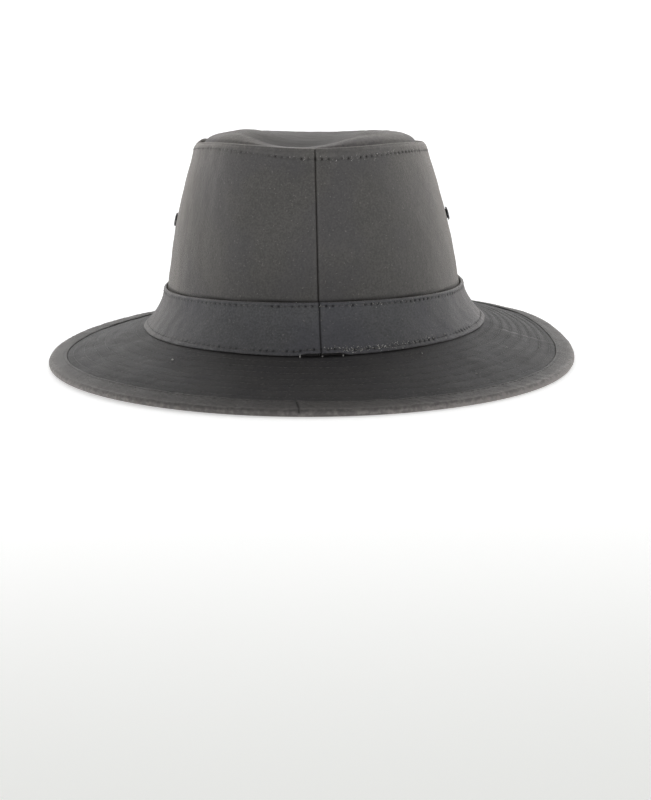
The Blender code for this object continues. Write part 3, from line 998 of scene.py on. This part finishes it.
# Rows once round the tape's section: its outside over the edge, and back on its inside.
upper_run = TAPE_RUN - spaced((0, 0.0008, 5), (0.0008, 0.0028, 8), (0.0028, TAPE_RUN, 12))
inner_run = np.linspace(0, TAPE_RUN, 5)
nose = np.linspace(pi / 2, -pi / 2, 13)[1:-1]
inside = TAPE - BINDING_WALL
tape_rows = around(
    (upper_run, pi / 2, TAPE),
    (0, nose, TAPE),
    (upper_run[::-1], -pi / 2, TAPE),
    (inner_run[::-1], -pi / 2, inside),
    (0, -nose, inside),
    (inner_run, pi / 2, inside),
    (TAPE_RUN, pi / 2, TAPE),
)
TAPE_COLUMNS = spaced((JOIN_INNER - 0.03, JOIN_OUTER + 0.03, 90),
                      (JOIN_OUTER + 0.03, JOIN_INNER - 0.03 + 2 * pi, 900))
binding = cloth("brim_binding_tape", TAPE_COLUMNS, tape_rows, binding_place)
binding.data.materials.append(waxed_cotton("waxed cotton, binding", dark=(0.0156, 0.0144, 0.0138),
                                           light=(0.0330, 0.0306, 0.0292), sheen=0.125, gloss=0.40,
                                           bias=radians(45), frays=0.7, wear_and_light_paleness=6.4, along=(1.4, 0.3, 1)))
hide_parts("brim_binding")


# The band: a strip of the same cloth, folded under along both edges and sewn round the foot of the
# crown with a row of stitches near each edge. Its ends are folded in and meet at the back.

BAND_JOIN_SHIFT = 0.0028
BAND_TOP_ROW = 0.0019
BAND_FOOT_ROW = 0.0022
BAND_EDGE = BAND_WALL / 2
BAND_JOIN = float(seam_turn(0.0, BAND_JOIN_SHIFT))
BAND_SWELLS = (Swell(0.00030, 0.045, 41), Swell(0.00012, 0.012, 42))

# The folded edges are padded, each row of stitches pulls the cloth in, and the ends roll in at the
# join, whose line waves a little.
TOP_PUFF = 0.00012
FOOT_PUFF = 0.00020
TOP_FURROW_DEPTH = 0.00006
TOP_HOLE_DEPTH = 0.00038
FOOT_FURROW_DEPTH = 0.00010
FOOT_HOLE_DEPTH = 0.00042
JOIN_ROLL = 0.0010
JOIN_DEPTH = 0.0009
JOIN_WAVE = 0.00016
JOIN_WAVE_LENGTH = 0.0052

# The foot spreads on the slope of the brim at the sides, and the top edge stands off the crown.
FOOT_FLARE = 0.0008
FLARE_HEIGHT = 0.0036
BRIM_SLOPE = 0.3
STAND_OFF = 0.00012
STAND_OFF_DEPTH = 0.006


def band_line(turn, up):
    """Points on the band's plain outside face, this far up from its foot."""
    return crown(up / panel_height(turn), turn, GAP + BAND_WALL)


band_top_row, band_foot_row = (
    stitch_row(path, BAND_JOIN, BAND_JOIN + 2 * pi) for path in (
        lambda turn: band_line(turn, band_height(turn) - BAND_TOP_ROW),
        lambda turn: band_line(turn, BAND_FOOT_ROW + 0 * turn),
    )
)


def band_skin(turn, up, depth=0.0):
    """Points on the band with its sewn edges and its join. Depth runs from outside to inside."""
    turn, up, depth = np.broadcast_arrays(turn, up, depth)
    plain = band_line(turn, up)
    outer = 1 - depth / BAND_WALL
    pull = round_hat("pull", turn)
    to_top = band_height(turn) - up
    to_join = np.minimum(turn - BAND_JOIN, BAND_JOIN + 2 * pi - turn) * BASE_HALF_WIDTH
    to_join = to_join + JOIN_WAVE * np.sin(2 * pi * up / JOIN_WAVE_LENGTH)
    relief = swells(plain, BAND_SWELLS)
    relief += TOP_PUFF * puff(to_top, BAND_TOP_ROW) + FOOT_PUFF * puff(up, BAND_FOOT_ROW)
    relief -= sewn(band_top_row, turn, to_top - BAND_TOP_ROW, STITCH_FURROW,
                   TOP_FURROW_DEPTH * pull, TOP_HOLE_DEPTH)
    relief -= sewn(band_foot_row, turn, up - BAND_FOOT_ROW, STITCH_FURROW,
                   FOOT_FURROW_DEPTH * pull, FOOT_HOLE_DEPTH)
    relief -= rolled(to_join, JOIN_ROLL, JOIN_DEPTH)
    stands_off = STAND_OFF * limited(1 - to_top / STAND_OFF_DEPTH) ** 2
    stands_off = stands_off * (1 + uneven(plain, 0.05, 43))
    flare = FOOT_FLARE * pressed_foot(turn) * limited(1 - up / FLARE_HEIGHT) ** 2
    out = GAP + BAND_WALL + stands_off + flare + outer * relief - depth
    point = crown(up / panel_height(turn), turn, out)
    point[..., 2] += BAND_GAP_RISE * loose_foot(turn) * limited(1 - up / 0.008) - BRIM_SLOPE * flare
    return point


def band_place(across, rows):
    share, offset, depth = rows.T
    turn = BAND_JOIN + across * 2 * pi
    up = share * band_height(turn) + offset
    to_top = band_height(turn) - up
    to_join = np.minimum(across, 1 - across) * 2 * pi * BASE_HALF_WIDTH
    # Dark along the join, painted shade in the needle holes, and worn pale along both folded edges.
    shaded = 0.9 * groove(to_join, 0.0011)
    shaded += sewn(band_top_row, turn, to_top - BAND_TOP_ROW, 0.0013, 0.02, 1.4)
    shaded += sewn(band_foot_row, turn, up - BAND_FOOT_ROW, 0.0014, 0.03, 1.4)
    wear_and_light = 0.25 * limited(1 - to_top / 0.0010) + 0.30 * limited(1 - up / 0.0010)
    flat = np.stack([across * 2 * pi * (BASE_HALF_WIDTH + BASE_HALF_LENGTH) / 2, up], -1)
    return band_skin(turn, up, depth), flat, wear_and_light, shaded


# Rows once round the band's section, from its foot, as shares of its height, offsets and depths.
face = spaced((0, 0.17, 14), (0.17, 0.84, 22), (0.84, 1, 14))
fold = np.linspace(0, pi, 9)[1:]
band_rows = around(
    (face, BAND_EDGE * (1 - 2 * face), 0),
    (1, BAND_EDGE * (np.sin(fold[:-1]) - 1), BAND_EDGE * (1 - np.cos(fold[:-1]))),
    (face[::-5], BAND_EDGE * (1 - 2 * face[::-5]), BAND_WALL),
    (0, BAND_EDGE * (1 - np.sin(fold)), BAND_EDGE * (1 + np.cos(fold))),
)
BAND_COLUMNS = spaced((0, 0.006, 14), (0.006, 0.994, 900), (0.994, 1, 14))
band = cloth("hat_band_cloth", BAND_COLUMNS, band_rows, band_place)
band.data.materials.append(waxed_cotton("waxed cotton, band", dark=(0.040, 0.0405, 0.0440),
                                        light=(0.073, 0.0732, 0.0780), along=(0.3, 1.2, 1)))
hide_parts("hat_band")


# The stitches: dark waxed thread that shows as short, rounded bars between its needle holes, sunk
# in the furrows that it pulls into the cloth.

THREAD_RADIUS = 0.00024
STITCH_LENGTH = 0.0024

# How far a stitch strays along its row, across it, and from its direction.
STRAY_ALONG = 0.00008
STRAY_ACROSS = 0.00007
STRAY_SLANT = 0.06


def thread_bar():
    """One stitch along X, thick in the middle and tapering where it dives into the cloth."""
    bm = bmesh.new()
    bmesh.ops.create_uvsphere(bm, u_segments=6, v_segments=5, radius=1,
                              matrix=Matrix.Rotation(pi / 2, 4, "Y"))
    return bm


def copies(name, shape, points, along, up, sizes):
    """Copies of a small shape joined into one piece, each at a point, along one way and with
    another way up. sizes scale its length, width and height."""
    mesh = bpy.data.meshes.new(name)
    shape.to_mesh(mesh)
    shape.free()
    corners = np.array([vertex.co for vertex in mesh.vertices])
    faces = [tuple(polygon.vertices) for polygon in mesh.polygons]
    along = unit(along)
    across = unit(np.cross(up, along))
    axes = np.stack([along, across, np.cross(along, across)], 1) * sizes[:, :, None]
    placed = points[:, None, :] + np.einsum("kc,ncd->nkd", corners, axes)
    joined = [tuple(corner + copy * len(corners) for corner in face)
              for copy in range(len(points)) for face in faces]
    mesh.clear_geometry()
    mesh.from_pydata(placed.reshape(-1, 3).tolist(), [], joined)
    bm = bmesh.new()
    bm.from_mesh(mesh)
    return dressed(name, bm, mesh)


def on_skin(skin, turn, onward, beside=0.0):
    """Points on a skin, with the way along it, the way across it and the way out of it."""
    beside = beside + 0 * turn
    point = skin(turn, beside)
    along = unit(skin(onward, beside) - point)
    across = unit(skin(turn, beside + 0.0012) - skin(turn, beside - 0.0012))
    out = unit(np.cross(along, across))
    out *= np.sign((out * (point - [0, 0, -0.3])).sum(-1))[:, None]
    return point, along, across, out


def lay_stitches(name, rows, thickness, seed):
    """Thread along rows of stitches. Each row comes with the skin that it lies on, which takes a
    turn and a distance across the row."""
    chance = np.random.default_rng(seed)
    points, along, up = [], [], []
    for row, skin in rows:
        count = round(row.lengths[-1] / row.pitch)
        middles = (np.arange(count) + 0.5) * row.pitch + chance.normal(0, STRAY_ALONG, count)
        turn = np.interp(middles, row.lengths, row.turns)
        onward = np.interp(middles + 0.0008, row.lengths, row.turns)
        point, ahead, across, out = on_skin(skin, turn, onward)
        lifted = point + 0.3 * thickness * THREAD_RADIUS * out
        points.append(lifted + across * chance.normal(0, STRAY_ACROSS, (count, 1)))
        along.append(ahead + across * chance.normal(0, STRAY_SLANT, (count, 1)))
        up.append(out)
    points, along, up = map(np.concatenate, (points, along, up))
    sizes = np.array([STITCH_LENGTH / 2, thickness * THREAD_RADIUS, thickness * THREAD_RADIUS])
    sizes = sizes * chance.uniform(0.86, 1.12, (len(points), 1))
    piece = copies(name, thread_bar(), points, along, up, sizes)
    piece.data.materials.append(thread_finish)
    return piece


def waxed_thread():
    material, shader, place = new_finish("waxed thread")
    twist = place.noise(0.0006, 1.0)
    dusty = twist.between(0.35, 0.75) * place.noise(0.005, 2.0).between(0.30, 0.62)
    feed(shader, {
        "Base Color": dusty.blend((0.034, 0.033, 0.032, 1), (0.125, 0.118, 0.108, 1)),
        "Roughness": 0.42 + 0.2 * twist,
        "Sheen Weight": 0.2,
        "Normal": twist.bump(0.4, 0.0001),
    })
    return material


thread_finish = waxed_thread()


def rim_skin(turn, beside):
    return panel_skin(rim_stitch_share(turn) + beside / panel_height(turn), turn)


def ring_path(number):
    share = FIRST_RING + number * RING_PITCH
    return lambda turn, beside=0.0: brim_skin(turn, share * free_width(turn) + beside)


def tape_skin(turn, beside):
    return binding_skin(turn, TAPE_RUN - BINDING_ROW - beside, pi / 2)


def band_top_skin(turn, beside):
    return band_skin(turn, band_height(turn) - BAND_TOP_ROW + beside)


def band_foot_skin(turn, beside):
    return band_skin(turn, BAND_FOOT_ROW + beside)


ring_rows = [(stitch_row(ring_path(number), -pi + 0.3 * number, pi + 0.3 * number), ring_path(number))
             for number in range(BRIM_RINGS)]
tape_row = stitch_row(lambda turn: tape_skin(turn, 0 * turn), JOIN_OUTER, JOIN_OUTER + 2 * pi)
for name, slot, thickness, seed, rows in (
    ("rim_stitches", "waxed_cotton_crown", 1.0, 51, [(rim_row, rim_skin)]),
    ("band_stitches", "waxed_cotton_band", 1.0, 52,
     [(band_top_row, band_top_skin), (band_foot_row, band_foot_skin)]),
    ("brim_stitches", "waxed_cotton_brim", 0.5, 53, ring_rows),
    ("binding_stitches", "binding_tape", 0.8, 54, [(tape_row, tape_skin)]),
):
    lay_stitches(name, rows, thickness, seed)


# Loose bits: crumbs of dry wax that the needle pushed out beside the tightest stitches, a few specks
# of lint on the brim, and the cut ends of three threads that hang from the band's foot at the back.

CRUMB_SPREAD = 0.0008
SPECK_RADIUS = 0.00046

# Where the crumbs lie, as turns in degrees, how many there are and how big.
Bed = namedtuple("Bed", "skin middle spread count radius")
BEDS = (
    Bed(rim_skin, -55, 25, 110, 0.00019),
    Bed(band_top_skin, -68, 18, 80, 0.00020),
    Bed(band_foot_skin, -70, 14, 230, 0.00027),
)

# Where the specks and the thread ends are, as turns in degrees and runs from the band.
Speck = namedtuple("Speck", "turn run")
SPECKS = (
    Speck(-58.5, 0.0072),
    Speck(-32.1, 0.0210),
    Speck(-31.3, 0.0222),
    Speck(-19.8, 0.0330),
    Speck(-54.0, 0.0376),
    Speck(-80.0, 0.0520),
    Speck(-131.0, 0.0150),
)
ThreadEnd = namedtuple("ThreadEnd", "turn run length")
THREAD_ENDS = (
    ThreadEnd(-94.6, 0.0016, 0.0021),
    ThreadEnd(-87.9, 0.0006, 0.0010),
    ThreadEnd(-81.7, 0.0006, 0.0009),
)


def crumb():
    bm = bmesh.new()
    bmesh.ops.create_icosphere(bm, subdivisions=1, radius=1)
    return bm


def pale_bits():
    material, shader, place = new_finish("dry wax and lint")
    dust = place.noise(0.0020, 2.0).between(0.35, 0.65)
    feed(shader, {
        "Base Color": dust.blend((0.13, 0.127, 0.122, 1), (0.46, 0.45, 0.43, 1)),
        "Roughness": 0.7 + 0.2 * dust,
        "Normal": dust.bump(0.3, 0.0001),
    })
    return material


def scatter(bed):
    """Chance places beside a row of stitches, thickest round the bed's middle."""
    turn = np.radians(chance.normal(bed.middle, bed.spread, bed.count))
    return on_skin(bed.skin, turn, turn + 0.01, chance.normal(0.0003, CRUMB_SPREAD, bed.count))


def speck_skin(turn, beside):
    return brim_skin(turn, np.array([speck.run for speck in SPECKS]) + beside)


chance = np.random.default_rng(61)
speck_turns = np.radians([speck.turn for speck in SPECKS])
places = [scatter(bed) for bed in BEDS] + [on_skin(speck_skin, speck_turns, speck_turns + 0.01)]
points, along, across, out = map(np.concatenate, zip(*places))
radii = [bed.radius for bed in BEDS] + [SPECK_RADIUS]
radii = np.repeat(radii, [bed.count for bed in BEDS] + [len(SPECKS)])
sizes = radii[:, None] * chance.uniform(0.5, 1.4, (len(points), 1))
sizes = sizes * chance.uniform(0.7, 1.3, (len(points), 3))
crumbs = copies("wax_crumbs", crumb(), points + 0.00006 * out, along, out, sizes)

end_turns, end_runs, lengths = np.array(THREAD_ENDS).T
end_turns = np.radians(end_turns)
points = brim_skin(end_turns, end_runs)
points[:, 2] += lengths / 2
hang = np.array([0.12, 0, 1]) + np.zeros((len(lengths), 1))
thick = 1.4 * THREAD_RADIUS + 0 * lengths
sizes = np.stack([lengths / 2, thick, thick], 1)
thread_ends = copies("thread_ends", thread_bar(), points, hang, outwards(0 * end_turns, end_turns), sizes)

bits_finish = pale_bits()
for piece in (crumbs, thread_ends):
    piece.data.materials.append(bits_finish)


# The camera, about a metre off behind the hat and a little above it, turned slightly clockwise.

CAMERA_DISTANCE = 1.0
CAMERA_HEIGHT_ANGLE = radians(11.03)
CAMERA_ROLL = radians(1.31)
CAMERA_LENS = 78.39
IMAGE_WIDTH, IMAGE_HEIGHT = 651, 800
ORIGIN_PIXEL = (310.3, 349.0)

camera = bpy.data.objects.new("camera", bpy.data.cameras.new("camera"))
bpy.context.scene.collection.objects.link(camera)
bpy.context.scene.camera = camera
camera.data.lens = CAMERA_LENS
camera.data.shift_x = (IMAGE_WIDTH / 2 - ORIGIN_PIXEL[0]) / IMAGE_HEIGHT
camera.data.shift_y = (ORIGIN_PIXEL[1] - IMAGE_HEIGHT / 2) / IMAGE_HEIGHT
camera.data.clip_start = 0.05
camera.data.clip_end = 100
back = Vector((0, -cos(CAMERA_HEIGHT_ANGLE), sin(CAMERA_HEIGHT_ANGLE)))
camera.location = back * CAMERA_DISTANCE
facing = (-back).to_track_quat("-Z", "Y").to_matrix().to_4x4()
camera.rotation_euler = (facing @ Matrix.Rotation(-CAMERA_ROLL, 4, "Z")).to_euler()


# The floor: smooth pale card. It glows a little towards the back, and brightly beside the camera,
# out of its view, so that the hat is lit from low down too.


def grey(level):
    return (level, level, level, 1)


bm = bmesh.new()
bmesh.ops.create_grid(bm, x_segments=8, y_segments=8, size=12)
floor = dressed("floor", bm)
card, shader, place = new_finish("pale card")
ahead = place.part(1)
lit = ahead.between(-0.66, -0.16).blend((0.13, 0.135, 0.115, 1), grey(0.50))
feed(shader, {
    "Base Color": grey(0.80),
    "Roughness": 0.9,
    "Emission Color": ahead.between(-1.0, -0.70).blend(grey(3.0), lit),
    "Emission Strength": 1.0,
})
floor.data.materials.append(card)


# Light: a white room, lit most on its far wall, low on its side walls and on the floor by the camera,
# and dark on its ceiling over the camera.

world = bpy.data.worlds.new("white room")
bpy.context.scene.world = world
world.use_nodes = True
direction = Wire(world.node_tree.nodes.new("ShaderNodeTexCoord").outputs["Generated"])
ahead, height = direction.part(1), direction.part(2)


def walls(front, sides, back):
    """Light all round at one height, from the camera's side of the room to the far one."""
    near_half = ahead.between(-0.9, -0.2).blend(grey(front), grey(sides))
    return ahead.between(0.1, 0.8).blend(near_half, grey(back))


wall = height.between(0.0, 0.4).blend(walls(0.9, 2.1, 1.2), walls(0.9, 0.2, 2.0))
ceiling = ahead.between(-0.5, 0.5).blend(grey(0.05), grey(1.15))
feed(world.node_tree.nodes["Background"], {"Color": height.between(0.45, 0.9).blend(wall, ceiling)})

bpy.context.scene.view_settings.view_transform = "Standard"
